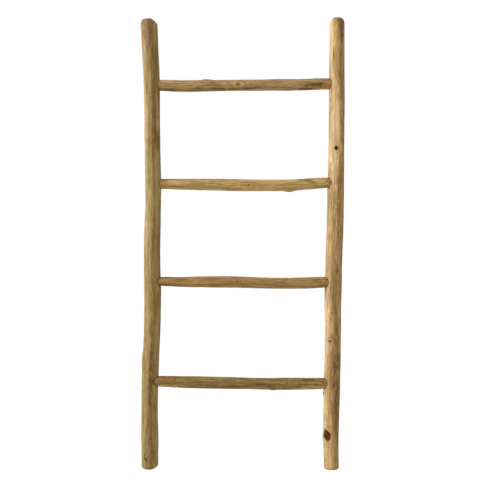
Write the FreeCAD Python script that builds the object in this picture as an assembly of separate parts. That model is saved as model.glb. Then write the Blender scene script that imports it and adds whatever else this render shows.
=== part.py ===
import FreeCAD
import Part

import math
import os

# Rustic display ladder: two peeled, naturally crooked poles stand upright as rails, and four
# thinner poles cross between them as rungs. Each rung ends in a shaved round tenon, glued into a
# blind socket bored in the rail and pinned by one nail driven in from the back of the rail.
# Millimetres. X runs to the right along the rungs, Y to the back and Z up from the floor.
# The origin lies on the floor, under the middle of the ladder.

Vec = FreeCAD.Vector

# Ladder layout
LOWEST_RUNG_HEIGHT = 260.0
RUNG_PITCH = 297.0
HORN_LENGTH = 199.0  # rail that stands above the top rung
RAIL_SPREAD = 546.0  # between the straight lines that the two rails wander about

# Poles
RAIL_DIAMETER = 48.5
RUNG_DIAMETER = 34.0
FACET_COUNT = 7  # long flats that the drawknife leaves round a pole
RAIL_FACET_DEPTH = 0.8  # how far a flat's middle lies inside the round, and its ridges outside
RUNG_FACET_DEPTH = 0.5
RING_SPACING = 50.0  # along a pole, between the outlines that its straight facets join

# Joints between rung and rail
GLUE_GAP = 0.15  # round the tenon in its socket
TENON_END_GAP = 0.8  # between the tenon's end and the socket's bottom
SOCKET_END_WALL = 15.0  # wood left behind the socket's bottom
SHOULDER_STEP = 0.5  # from the shaved tenon up to the peeled rung

# Nails
NAIL_LENGTH = 36.0
NAIL_SHANK_DIAMETER = 2.2
NAIL_HEAD_DIAMETER = 5.0
NAIL_HEAD_THICKNESS = 1.2
NAIL_POINT_LENGTH = 3.0
NAIL_SET = 0.6  # how far the head is punched below the wood
NAIL_CLEARANCE = 0.05

# Sawn ends of the rails
END_EASING = 8.0  # how far the sawn edge is cut back, at 45 degrees

# Each rail: the side it stands on, the bearing of one ridge between flats at the foot and at the
# top, in degrees round from the front towards the right, then its form at even steps up its length:
# the sway to the right, the sway to the back, and the swell over the nominal diameter, across and deep.
# The top is sawn off short of the full length. A bevel is hewn on the side that faces the other rail:
# its run along the end, and its drop down the side. A lump or scar of a lost branch has its height,
# its bearing, and the length, belly radius and rise or depth of its spindle form.
LEFT_RAIL = {
    "side": -1,
    "ridge": (-4.0, 2.0),
    "stations": [
        (-4.5, 1.0, 0.0, 0.0),
        (-5.5, 0.5, 4.0, 2.5),
        (-6.5, -0.5, 1.5, 1.5),
        (-4.5, -1.5, 2.0, 1.0),
        (-0.5, -1.5, 1.5, 0.0),
        (2.5, -1.0, 1.0, 1.0),
        (3.0, -0.5, 2.5, 1.5),
        (1.0, 0.5, -0.5, 0.5),
        (2.5, 1.5, 0.5, 0.0),
        (4.5, 2.0, -1.5, -1.0),
        (4.0, 1.5, -1.0, -0.5),
        (2.0, 0.0, -1.0, 0.5),
        (1.5, -1.0, -1.5, -0.5),
        (0.0, -1.5, 1.0, 0.5),
        (-4.0, -1.0, 1.0, -0.5),
        (-8.0, 0.5, 1.0, 0.0),
    ],
    "sawn_off": 4.0,
    "top_bevel": (16.0, 18.0),
    "foot_bevel": (20.0, 13.0),
    "lumps": [
        (322.0, -92.0, 50.0, 18.0, 2.0),
    ],
    "scars": [],
}
RIGHT_RAIL = {
    "side": 1,
    "ridge": (24.0, 16.0),
    "stations": [
        (-8.0, -1.0, -4.5, -2.5),
        (-10.0, -0.5, -3.5, -0.5),
        (-8.5, 0.0, -1.5, -1.0),
        (-6.0, 1.0, 0.5, 0.0),
        (-4.0, 1.5, -0.5, 0.5),
        (-3.5, 1.0, -0.5, 1.0),
        (-3.0, 0.0, 3.5, 1.5),
        (-0.5, -1.0, 1.5, 1.0),
        (2.5, -1.5, 2.5, 0.5),
        (4.0, -1.5, 2.5, 0.5),
        (6.0, -0.5, -0.5, 0.0),
        (7.5, 0.5, -2.0, -1.0),
        (8.0, 1.5, -0.5, 0.0),
        (8.0, 1.0, -1.5, -0.5),
        (8.5, 0.0, -2.5, -1.5),
        (8.5, -0.5, -2.5, -1.5),
    ],
    "sawn_off": 0.0,
    "top_bevel": (11.0, 20.0),
    "foot_bevel": (9.0, 9.0),
    "lumps": [
        (104.0, -50.0, 58.0, 17.0, 3.5),
        (230.0, -72.0, 26.0, 12.0, 2.5),
    ],
    "scars": [
        (103.0, -26.0, 36.0, 15.0, 3.0),
    ],
}

# Each rung, from the floor up. For the left end and the right end: how far the bored socket lies
# above the even pitch, the wood left in front of the socket, the tenon's diameter over the nominal
# rung's, and the length that was shaved outside the rail. Bearings on a rung run round from the
# front towards the top. Then the form at even steps from shoulder to shoulder: the rise above the
# line between the two ends, the sway to the back, and the swell over the nominal diameter. A lump
# has its share of the way from left to right, its bearing, and its length, belly radius and rise.
RUNGS = {
    "bottom_rung": {
        "left": (4.0, 3.5, -1.5, 14.0),
        "right": (-3.0, 5.0, -1.0, 8.0),
        "ridge": (20.0, 30.0),
        "stations": [
            (-1.5, 0.5, 0.5),
            (-1.5, 1.0, 2.5),
            (-2.0, 1.5, 2.0),
            (-2.5, 1.0, 2.5),
            (-2.5, 0.5, 1.0),
            (-3.0, -0.5, -0.5),
            (-3.5, -1.0, 1.0),
            (-2.0, -1.5, 2.0),
            (-1.5, -0.5, 1.0),
        ],
        "lumps": [],
    },
    "lower_rung": {
        "left": (4.5, 4.5, -7.5, 6.0),
        "right": (2.5, 4.5, -2.0, 6.0),
        "ridge": (-10.0, 5.0),
        "stations": [
            (-1.0, -0.5, -4.5),
            (-0.5, -1.5, -1.5),
            (-0.5, -2.0, 0.0),
            (-0.5, -2.0, 0.5),
            (-1.5, -1.0, 0.0),
            (-3.0, 0.0, -0.5),
            (-4.0, 1.0, -1.5),
            (-3.5, 1.5, -1.5),
            (-2.5, 0.5, 0.0),
        ],
        "lumps": [],
    },
    "upper_rung": {
        "left": (-1.0, 8.0, -3.5, 24.0),
        "right": (2.5, 4.0, -3.0, 8.0),
        "ridge": (35.0, 22.0),
        "stations": [
            (-1.0, 0.5, -1.0),
            (-2.5, 1.0, 1.0),
            (-3.5, 1.5, 2.5),
            (-4.5, 1.0, 2.0),
            (-5.5, 0.0, 1.5),
            (-6.5, -1.0, 0.0),
            (-7.0, -1.5, -0.5),
            (-6.5, -1.5, 1.0),
            (-3.0, -0.5, -1.0),
        ],
        "lumps": [(0.775, -75.0, 30.0, 11.0, 2.5)],
    },
    "top_rung": {
        "left": (-3.0, 7.5, -1.5, 6.0),
        "right": (1.5, 7.0, 0.0, 22.0),
        "ridge": (12.0, 18.0),
        "stations": [
            (-2.5, 0.5, 1.0),
            (-3.0, 1.0, 0.5),
            (-2.0, 1.0, 0.0),
            (-2.0, 0.5, -1.0),
            (-2.0, -0.5, 0.0),
            (-2.5, -1.0, -0.5),
            (-2.0, -1.0, 0.5),
            (-2.5, -0.5, 1.0),
            (-2.0, 0.0, 0.5),
        ],
        "lumps": [(0.28, 80.0, 28.0, 11.0, 2.5)],
    },
}

RAIL_LENGTH = LOWEST_RUNG_HEIGHT + (len(RUNGS) - 1) * RUNG_PITCH + HORN_LENGTH
ACROSS, BACK, UP = Vec(1, 0, 0), Vec(0, 1, 0), Vec(0, 0, 1)


def pole_ring(centre, wide_way, deep_way, half_width, half_depth, ridge_angle, facet_depth):
    """Closed outline of a pole at one station: an oval of long, slightly bowed drawknife flats."""

    def edge_point(step, rise):
        angle = ridge_angle + math.pi * step / FACET_COUNT
        along_width = wide_way * (half_width + rise) * math.cos(angle)
        along_depth = deep_way * (half_depth + rise) * math.sin(angle)
        return centre + along_width + along_depth

    flats = []
    for k in range(FACET_COUNT):
        start, end = edge_point(2 * k, facet_depth), edge_point(2 * k + 2, facet_depth)
        middle = edge_point(2 * k + 1, -facet_depth)
        flats.append(Part.Arc(start, middle, end).toShape())
    return Part.Wire(flats)


def part_way(ends, share):
    """Value part of the way between the values at two ends."""
    return ends[0] + (ends[1] - ends[0]) * share


def form_at(stations, share):
    """Form of a pole part of the way along it, on a smooth curve through its even stations."""
    last = len(stations) - 1
    step = min(int(share * last), last - 1)
    t = share * last - step
    weights = (
        (-t + 2 * t**2 - t**3) / 2,
        (2 - 5 * t**2 + 3 * t**3) / 2,
        (t + 4 * t**2 - 3 * t**3) / 2,
        (t**3 - t**2) / 2,
    )
    around = [stations[min(max(step + k, 0), last)] for k in (-1, 0, 1, 2)]
    return [sum(w * value for w, value in zip(weights, values)) for values in zip(*around)]


def rail_top(rail):
    """Height of a rail's sawn top."""
    return RAIL_LENGTH - rail["sawn_off"]


def rail_girth(rail, height):
    """Middle and half sizes of a rail at a height."""
    sway, lean, swell, deep_swell = form_at(rail["stations"], height / RAIL_LENGTH)
    centre = Vec(rail["side"] * RAIL_SPREAD / 2 + sway, lean, height)
    return centre, Vec(RAIL_DIAMETER + swell, RAIL_DIAMETER + deep_swell, 0) / 2


def rung_girth(rung, left, right, share):
    """Middle and half sizes of a rung at a share of the way from its left shoulder to its right."""
    ends = [(0, 0, 2 * (s["radius"] + SHOULDER_STEP) - RUNG_DIAMETER) for s in (left, right)]
    rise, lean, swell = form_at([ends[0], *rung["stations"], ends[1]], share)
    line = left["shoulder"] + (right["shoulder"] - left["shoulder"]) * share
    radius = (RUNG_DIAMETER + swell) / 2
    return line + Vec(0, lean, rise), Vec(0, radius, radius)


def spindle(girth, along, outward, size, sunk):
    """Spindle lying along a pole's surface: it scoops out a scar, or raises a lump where it is sunk."""
    length, belly, height = size
    centre, half = girth
    surface = centre + Vec(outward.x * half.x, outward.y * half.y, outward.z * half.z)
    curve_radius = ((length / 2) ** 2 + height**2) / (2 * height)
    half_chord = math.sqrt(2 * curve_radius * belly - belly**2)
    start, end = along * -half_chord, along * half_chord
    curve = Part.Arc(start, outward * belly, end).toShape()
    axis = Part.LineSegment(end, start).toShape()
    solid = Part.Face(Part.Wire([curve, axis])).revolve(Vec(), along, 360)
    standoff = height - belly if sunk else belly - height
    solid.translate(surface + outward * standoff)
    return solid


def rail_spindle(rail, feature, sunk):
    """Lump or scar on a rail."""
    height, bearing, *size = feature
    facing = math.radians(bearing)
    outward = Vec(math.sin(facing), -math.cos(facing), 0)
    return spindle(rail_girth(rail, height), UP, outward, size, sunk)


def peeled_rail(rail):
    """The rail's whole pole as it grew, sawn square at both ends."""
    rings = []
    steps = round(rail_top(rail) / RING_SPACING)
    for step in range(steps + 1):
        share = step / steps
        centre, half = rail_girth(rail, share * rail_top(rail))
        ridge_angle = math.radians(part_way(rail["ridge"], share) - 90)
        rings.append(pole_ring(centre, ACROSS, BACK, half.x, half.y, ridge_angle, RAIL_FACET_DEPTH))
    return Part.makeLoft(rings, True, True)


def easing_ring(rail, end_height, outward):
    """Ring that eases the sawn edge at one end of a rail. Outward is 1 at the top, -1 at the foot."""
    centre, half = rail_girth(rail, end_height - outward * END_EASING)
    edge = max(half.x, half.y) + RAIL_FACET_DEPTH
    past, short = END_EASING / 2, END_EASING * 3 / 2
    above = Vec(edge - short, 0, outward * past)
    below = Vec(edge + past, 0, -outward * short)
    corner = Vec(edge + past, 0, outward * past)
    ring = Part.Face(Part.makePolygon([above, below, corner, above])).revolve(Vec(), UP, 360)
    ring.translate(Vec(centre.x, centre.y, end_height))
    return ring


def bevel_wedge(rail, end_height, outward, run, drop):
    """Wedge that hews the bay-side corner off a rail's end. Outward is 1 at the top, -1 at the foot."""
    inward = -rail["side"]
    centre, half = rail_girth(rail, end_height - outward * END_EASING)
    corner = Vec(centre.x + inward * (half.x + run), 0, end_height + outward * drop)
    below = corner - UP * outward * 3 * drop
    beside = corner - ACROSS * inward * 3 * run
    slope = Part.Face(Part.makePolygon([corner, below, beside, corner]))
    slope.translate(BACK * (centre.y - 2 * half.y))
    return slope.extrude(BACK * 4 * half.y)


def socket_of(rail, height, end):
    """Place and size of the joint between a rung's end and a rail, worked out from the pole there."""
    rise, front_wall, tenon_swell, shaved = end
    centre, half = rail_girth(rail, height + rise)
    inward = -rail["side"]
    tenon_radius = (RUNG_DIAMETER + tenon_swell) / 2
    tenon_y = centre.y - half.y + front_wall + GLUE_GAP + tenon_radius
    return {
        "way_in": ACROSS * inward,
        "radius": tenon_radius,
        "bottom": Vec(centre.x - inward * (half.x - SOCKET_END_WALL), tenon_y, centre.z),
        "shoulder": Vec(centre.x + inward * (half.x + shaved), tenon_y, centre.z),
        "nail": Vec(centre.x, centre.y + half.y - NAIL_SET, centre.z),
    }


def nail(head_face):
    """Round wire nail with the outer face of its head at a point, and its tip towards the front."""
    head_edge, shank_edge = NAIL_HEAD_DIAMETER / 2, NAIL_SHANK_DIAMETER / 2
    profile = Part.makePolygon(
        [
            Vec(0, 0, 0),
            Vec(head_edge, 0, 0),
            Vec(head_edge, -NAIL_HEAD_THICKNESS, 0),
            Vec(shank_edge, -NAIL_HEAD_THICKNESS, 0),
            Vec(shank_edge, NAIL_POINT_LENGTH - NAIL_LENGTH, 0),
            Vec(0, -NAIL_LENGTH, 0),
            Vec(0, 0, 0),
        ]
    )
    body = Part.Face(profile).revolve(Vec(), BACK, 360)
    body.translate(head_face)
    return body


def nail_hole(head_face):
    """Hole that a nail leaves, open to the back, with a punched recess for its head."""
    shank_radius = NAIL_SHANK_DIAMETER / 2 + NAIL_CLEARANCE
    head_radius = NAIL_HEAD_DIAMETER / 2 + NAIL_CLEARANCE
    seat = head_face - BACK * (NAIL_HEAD_THICKNESS + NAIL_CLEARANCE)
    tip = head_face - BACK * (NAIL_LENGTH + NAIL_CLEARANCE)
    shank = Part.makeCylinder(shank_radius, NAIL_LENGTH, tip, BACK)
    recess = Part.makeCylinder(head_radius, RAIL_DIAMETER / 2, seat, BACK)
    return shank.fuse(recess)


def bored_rail(rail, sockets):
    """A rail with its lumps, hewn ends, branch scars, rung sockets and nail holes."""
    top = rail_top(rail)
    cuts = [easing_ring(rail, top, 1), easing_ring(rail, 0, -1)]
    cuts.append(bevel_wedge(rail, top, 1, *rail["top_bevel"]))
    cuts.append(bevel_wedge(rail, 0, -1, *rail["foot_bevel"]))
    cuts.extend(rail_spindle(rail, scar, sunk=False) for scar in rail["scars"])
    for socket in sockets:
        depth = abs(socket["shoulder"].x - socket["bottom"].x)
        radius = socket["radius"] + GLUE_GAP
        cuts.append(Part.makeCylinder(radius, depth, socket["bottom"], socket["way_in"]))
        cuts.append(nail_hole(socket["nail"]))
    lumps = [rail_spindle(rail, lump, sunk=True) for lump in rail["lumps"]]
    return peeled_rail(rail).fuse(lumps).cut(cuts)


def peeled_rung(rung, left, right):
    """One rung: its peeled middle lofted between two shoulders, with a shaved tenon at each end."""
    rings = []
    steps = round(abs(right["shoulder"].x - left["shoulder"].x) / RING_SPACING)
    for step in range(steps + 1):
        share = step / steps
        centre, half = rung_girth(rung, left, right, share)
        ridge_angle = math.radians(180 - part_way(rung["ridge"], share))
        facet_depth = RUNG_FACET_DEPTH if 0 < step < steps else 0
        rings.append(pole_ring(centre, BACK, UP, half.y, half.z, ridge_angle, facet_depth))
    additions = []
    for share, bearing, *size in rung["lumps"]:
        facing = math.radians(bearing)
        outward = Vec(0, -math.cos(facing), math.sin(facing))
        girth = rung_girth(rung, left, right, share)
        additions.append(spindle(girth, ACROSS, outward, size, sunk=True))
    for socket in (left, right):
        tip = socket["bottom"] + socket["way_in"] * TENON_END_GAP
        length = abs(socket["shoulder"].x - tip.x) + socket["radius"]
        tenon = Part.makeCylinder(socket["radius"], length, tip, socket["way_in"])
        additions.append(tenon.cut(nail_hole(socket["nail"])))
    return Part.makeLoft(rings, True, True).fuse(additions)


def build_ladder():
    """Every piece by name, standing on the floor over the origin."""
    rails = {"left": LEFT_RAIL, "right": RIGHT_RAIL}
    sockets = {"left": [], "right": []}
    pieces = {}
    for step, (name, rung) in enumerate(RUNGS.items()):
        height = LOWEST_RUNG_HEIGHT + step * RUNG_PITCH
        for side, rail in rails.items():
            sockets[side].append(socket_of(rail, height, rung[side]))
            pieces[f"{name}_{side}_nail"] = nail(sockets[side][-1]["nail"])
        pieces[name] = peeled_rung(rung, sockets["left"][-1], sockets["right"][-1])
    for side, rail in rails.items():
        pieces[f"{side}_rail"] = bored_rail(rail, sockets[side])
    middle = Part.makeCompound(list(pieces.values())).optimalBoundingBox().Center
    for piece in pieces.values():
        piece.translate(Vec(-middle.x, -middle.y, 0))
    return pieces


def main():
    os.makedirs("parts", exist_ok=True)
    for name, piece in build_ladder().items():
        piece.exportStep(f"parts/{name}.step")
        print(f"{name}: {len(piece.Solids)} solid, valid {piece.isValid()}, {piece.Volume / 1000:.1f} cm3")


main()
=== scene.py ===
import math
from dataclasses import dataclass

import bmesh
import bpy
import numpy as np
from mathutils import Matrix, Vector
from mathutils.bvhtree import BVHTree


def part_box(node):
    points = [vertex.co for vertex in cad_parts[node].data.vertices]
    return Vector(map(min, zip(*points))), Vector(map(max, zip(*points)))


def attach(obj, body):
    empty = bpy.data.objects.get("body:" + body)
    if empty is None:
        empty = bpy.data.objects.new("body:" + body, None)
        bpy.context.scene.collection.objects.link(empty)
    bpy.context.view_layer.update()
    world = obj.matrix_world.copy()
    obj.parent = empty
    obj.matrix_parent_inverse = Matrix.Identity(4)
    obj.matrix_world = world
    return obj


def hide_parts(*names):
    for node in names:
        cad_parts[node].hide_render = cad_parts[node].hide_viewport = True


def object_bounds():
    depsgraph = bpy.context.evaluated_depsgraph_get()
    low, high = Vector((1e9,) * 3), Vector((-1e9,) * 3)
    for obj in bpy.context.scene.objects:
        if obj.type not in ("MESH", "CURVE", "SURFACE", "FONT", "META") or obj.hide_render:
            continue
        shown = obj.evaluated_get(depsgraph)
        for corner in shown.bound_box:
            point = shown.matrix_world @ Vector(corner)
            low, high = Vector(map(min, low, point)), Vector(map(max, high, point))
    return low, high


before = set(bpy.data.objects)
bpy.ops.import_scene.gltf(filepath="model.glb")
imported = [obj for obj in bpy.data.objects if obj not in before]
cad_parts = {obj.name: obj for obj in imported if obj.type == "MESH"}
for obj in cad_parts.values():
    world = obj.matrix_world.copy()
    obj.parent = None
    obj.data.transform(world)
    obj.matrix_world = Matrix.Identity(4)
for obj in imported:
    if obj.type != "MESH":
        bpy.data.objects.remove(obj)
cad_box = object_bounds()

bl_info = {
    "name": "Rustic display ladder",
    "version": (1, 0, 0),
    "blender": (4, 5, 0),
    "location": "3D View > Sidebar > Ladder",
    "description": "Shapes peeled poles, whittled rungs and nails on the packed frame of a display ladder",
    "category": "Object",
}

# Lengths are in metres, apart from those of marks, which are in millimetres. The front of the ladder is -Y.
# A bearing runs round a pole from 0 at the front, towards +X on a rail and towards +Z on a rung. It is given
# in degrees and worked in radians.
MM = 0.001
BODY = "root"
RAIL_AXIS, RUNG_AXIS = 2, 0
SIDES = ("left", "right")

# Reading the solids of the frame
ROW_STEP = 1.5 * MM
END_MARGIN = 0.2 * MM  # from the end of a solid to the first row
RAY_START = 0.1  # distance from a pole's centre line at which rays towards it start
LINE_STRIDE = 6  # rows skipped while the centre line is found
LINE_SPOKES = 32
LINE_BLUR = 12 * MM
FORM_BLUR = 7 * MM
ROUND_WAVES = 6  # the solids have 7 flats, so a pole's form without them keeps fewer waves round
SOCKET_REACH = 24 * MM  # half the length of pole over which a bored socket is bridged
END_ZONE = 42 * MM  # hewn length at each end of a rail

# Carving. A noise is a sum of layers, each with its number among the layers of a pole, its strength, the
# length of its cells and how many of them go round.
FLAT_COUNT = 7
RIDGE_SWAY = ((0, 1.0, 95 * MM, 1), (50, 0.35, 22 * MM, 1))  # each next edge takes the next numbers
FLATNESS_CHANGE = ((20, 0.5, 130 * MM, FLAT_COUNT),)
CRISP_EDGE, WORN_EDGE = 1.0 * MM, 4.0 * MM  # how far the edges between flats are rounded
CRISP_SHARE = 0.6
CRISP_CHANGE = ((24, 1.0, 160 * MM, FLAT_COUNT),)
WAVES = ((21, 1.0, 85 * MM, 8), (22, 0.35, 24 * MM, 22))
FIBRES = ((23, 1.0, 34 * MM, 64),)
SHOULDER = 10 * MM  # hewing shallower than this is softened
HEWN_BLUR = (2, 3)  # rows and columns
KNIFE_CUT, KNIFE_FADE = 0.4 * MM, 5 * MM  # mean depth of the knife cuts on a rung's ends, and their run-out
KNIFE_CHANGE = ((80, 1.0, 15 * MM, 11),)
END_CRACKS, END_CRACK_DEPTH = 5, 1.4 * MM
END_CRACK_LENGTHS, END_CRACK_WIDTHS = (0.5, 0.95), (0.35 * MM, 0.7 * MM)  # lengths as shares of the radius
END_CRACK_SWAY, END_CRACK_BENDS, END_CRACK_TAPER = 0.12, 7, 4

# Marks, in millimetres or in core radii of a knot
KNOT_REACH = 2.6
KNOT_WIDTHS = (0.3, 1.7)  # least and most that a taper leaves
COLLAR_PLACE, COLLAR_SPREAD, CORE_EDGE = 1.5, 0.7, 1.15
DARK_EDGE, DARK_FADE = 1.12, 0.24
HALO_STRENGTH, HALO_SPREAD = 0.45, 2.0
GRAIN_PUSH, GRAIN_PUSH_REACH = 0.92, 1.9  # how strongly and how far off a knot turns the grain aside
LIP_HEIGHT, LIP_SPREAD = 0.16, 2.6  # raised lips of a crack, as shares of its depth and width
CRACK_SWAY, CRACK_BENDS, CRACK_TAPER = 0.02, 9, 1.3
CRACK_GRIME, CRACK_GRIME_SPREAD = 1.4, 1.1
SEAM_DEPTH = 0.4  # a crack no deeper than this is only a dark line, and needs no closer rows
# Several of these end-to-end bands are painted shade on the side away from the key lamp and painted highlight
# on the lit side
RAIL_MIDDLE, RAIL_LONG, RUNG_LONG = 673, 2600, 1200  # for stains that run on from end to end

# Looks
GROWTH_RING = 0.5 * MM  # depth of cut from one growth line to the next on a pole's side
YEAR_RING = 2.4 * MM  # from one growth ring to the next on a sawn end
GROWTH_DRIFT = ((72, 1.2 * MM, 110 * MM, 4),)  # how far growth lines stray from the depth of cut
FLAT_AGE = ((60, 1.0, 150 * MM, FLAT_COUNT),)
RAGGED = ((71, 1.0, 26 * MM, 18), (73, 0.7, 9 * MM, 40))  # moves the edges of stains
NO_RING = 9.0  # a place far from every knot, in core radii
SAWN_DEPTH, SAWN_FADE = 2.5 * MM, 4 * MM  # depth under the pole's form at which end grain begins to show
# Painted shade in a thin ring where a rung runs into a rail, on both poles
JOINT_SHADE, JOINT_SHADE_WIDTH = 0.6, 1.0 * MM
SHAVED_FADE = 10 * MM
SHAVED_CHANGE = ((70, 0.35, 400 * MM, 16),)
GRAIN_START = 0.37  # moves each pole to another stretch of the grain

# Meshes
RAIL_COLUMNS, RUNG_COLUMNS = 144, 112
LONG_STEP, FINE_STEP = 3.6 * MM, 1.3 * MM
FINE_ZONE = 0.75 * END_ZONE
RIM_STEPS = (0.1 * MM, 0.4 * MM, 1.0 * MM)  # rows at each end, where a worn rim turns over
CAP_RINGS = (0.93, 0.8, 0.62, 0.42, 0.22, 0.08)
SOCKET_SEGMENTS, NAIL_SEGMENTS = 72, 32
SHARP_EDGE = math.radians(50)

# Sockets and nails, as in the frame
SOCKET_END_GAP = 0.8 * MM
SOCKET_BORE = 80 * MM  # long enough to leave the rail
TENON_SAMPLE = 4 * MM  # from a tenon's tip to where its radius is read
NAIL_SHANK = 1.1 * MM  # radius
NAIL_HEAD_THICKNESS = 1.2 * MM
NAIL_POINT = 3 * MM
NAIL_BORE = 20 * MM  # from a nail's head to beyond the back of the rail
NAIL_TIP, NAIL_HOLE_TIP = 0.05 * MM, 0.1 * MM  # radii at the point
NAIL_NECK, NECK_FLARE = 0.3 * MM, 0.4 * MM
GRIP_RINGS, GRIP_PITCH = 3, 1 * MM  # rings on the shank under the head
GRIP_SHAPE = ((0.2, 0.92), (0.6, 1.0))  # shares of the pitch, and of the shank's radius there
HEAD_HOLLOW = ((0.6, 0.05 * MM), (0.2, 0.02 * MM))  # how far the head's face is sunk, at shares of its radius
RIM_TURNS = 6

# Stage
SENSOR_WIDTH = 36.0
EYE_ASIDE, EYE_BELOW = 22 * MM, 19.3 * MM  # place of the camera from the middle of the ladder
KEY_PLACE, KEY_AIM, KEY_SIZE = (-2.6, -0.7, 1.8), (0, 0, 0.8), 1.1
FLOOR_CORNERS = ((-6, -3), (6, -3), (6, 6), (-6, 6))
FLOOR_GREY, FLOOR_GREY_SEEN, FLOOR_GLOW_SEEN = 0.8, 0.1, 0.95
WHITE = (1, 1, 1, 1)


def eased(share):
    """Share from 0 to 1 that starts and stops gently."""
    share = np.clip(share, 0, 1)
    return share * share * (3 - 2 * share)


def bell(distance):
    """1 at no distance, falling to 0 in a bell curve."""
    return np.exp(-(distance**2))


def wrapped(angle):
    """Angle within half a turn either way."""
    return (angle + math.pi) % math.tau - math.pi


def slanted(across, along, slant):
    """Distances along a line and off it. Slant is in degrees from the pole's run to higher bearings."""
    turn = math.radians(slant)
    run = along * math.cos(turn) + across * math.sin(turn)
    return run, across * math.cos(turn) - along * math.sin(turn)


@dataclass
class Knot:
    """A branch stub: a sunken core in a raised collar, which the grain flows round."""

    along: float
    bearing: float
    core: float
    depth: float
    collar: float
    ratio: float = 1.3  # length along the pole over width
    slant: float = 0.0
    roundness: float = 2.0  # 2 is an oval, and less draws it out to a leaf with two points
    taper: float = 0.0  # how much narrower it is at its higher end
    dark: float = 1.0  # how dark the core is

    def reach(self):
        """Half the length of pole that needs close rows."""
        return KNOT_REACH * self.core * self.ratio

    def far(self, across, along):
        """Distance from the middle, in core radii."""
        run, off = slanted(across, along, self.slant)
        long = run / (self.core * self.ratio)
        wide = off / (self.core * np.clip(1 - self.taper * long, *KNOT_WIDTHS))
        return (np.abs(wide) ** self.roundness + np.abs(long) ** self.roundness) ** (1 / self.roundness)

    def relief(self, across, along):
        """Height of the collar, or depth of the core below 0."""
        far = self.far(across, along)
        return self.collar * bell((far - COLLAR_PLACE) / COLLAR_SPREAD) - self.depth * eased(CORE_EDGE - far)


@dataclass
class Check:
    """A drying crack that opens along a pole, a slit across it, or a dark seam between growth rings."""

    along: float
    bearing: float
    length: float
    width: float
    depth: float
    slant: float = 0.0
    dark: float = 1.0  # how dark it is inside

    def reach(self):
        """Half the length of pole that needs close rows, which goes a little past the crack's ends."""
        return self.length * 0.55 + 2 * self.width if self.depth > SEAM_DEPTH else 0

    def opening(self, across, along, spread):
        """How far the crack gapes, from 0 to 1, with its width spread."""
        run, off = slanted(across, along, self.slant)
        off = off + CRACK_SWAY * self.length * np.sin(CRACK_BENDS * run / self.length)
        gape = eased(CRACK_TAPER * (1 - np.abs(run) / (self.length / 2)))
        return gape * bell(off / (self.width / 2 * spread))

    def relief(self, across, along):
        """Height of the lips, or depth of the crack below 0."""
        lips = LIP_HEIGHT * self.opening(across, along, LIP_SPREAD)
        return self.depth * (lips - (1 + LIP_HEIGHT) * self.opening(across, along, 1))


@dataclass
class StainAndShading:
    """A patch that inner bark or weather left olive brown, or that is fresh and pale where it is below 0.
    Long bands of it down a pole's side are painted shade away from the key lamp, and painted highlight on the
    lit side where they are below 0.
    """

    along: float
    bearing: float
    length: float
    width: float
    strength: float
    fade: float = 1.0  # width of the edge, as a share of the patch
    rough: float = 0.3  # how far the edge strays, as a share of the patch

    def weight(self, across, along, ragged):
        """Strength at places whose edge is moved by ragged noise."""
        far = np.hypot(2 * across / self.width, 2 * along / self.length) + self.rough * ragged
        return self.strength * eased((1 - far) / self.fade + 0.5)


@dataclass
class Bulge:
    """A swelling that the drawknife cut through, so that growth lines show in it as nested ovals."""

    along: float
    bearing: float
    length: float
    width: float
    height: float

    def swell(self, across, along):
        """Height before it was cut."""
        return self.height * bell(np.hypot(2 * across / self.width, 2 * along / self.length))


CARVED = (Knot, Check)


def srgb(red, green, blue):
    """Colour for a shader from the 0 to 255 values that a screen shows."""
    shares = [value / 255 for value in (red, green, blue)]
    linear = [s / 12.92 if s <= 0.04045 else ((s + 0.055) / 1.055) ** 2.4 for s in shares]
    return (*linear, 1.0)


def shaded(colour, share):
    """Colour with its light taken down, or up, to a share."""
    return (*[share * value for value in colour[:3]], 1.0)


def blended(first, second, share):
    """Colour that goes from the first to the second as the share goes to 1."""
    return tuple(a + (b - a) * share for a, b in zip(first, second))


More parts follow.
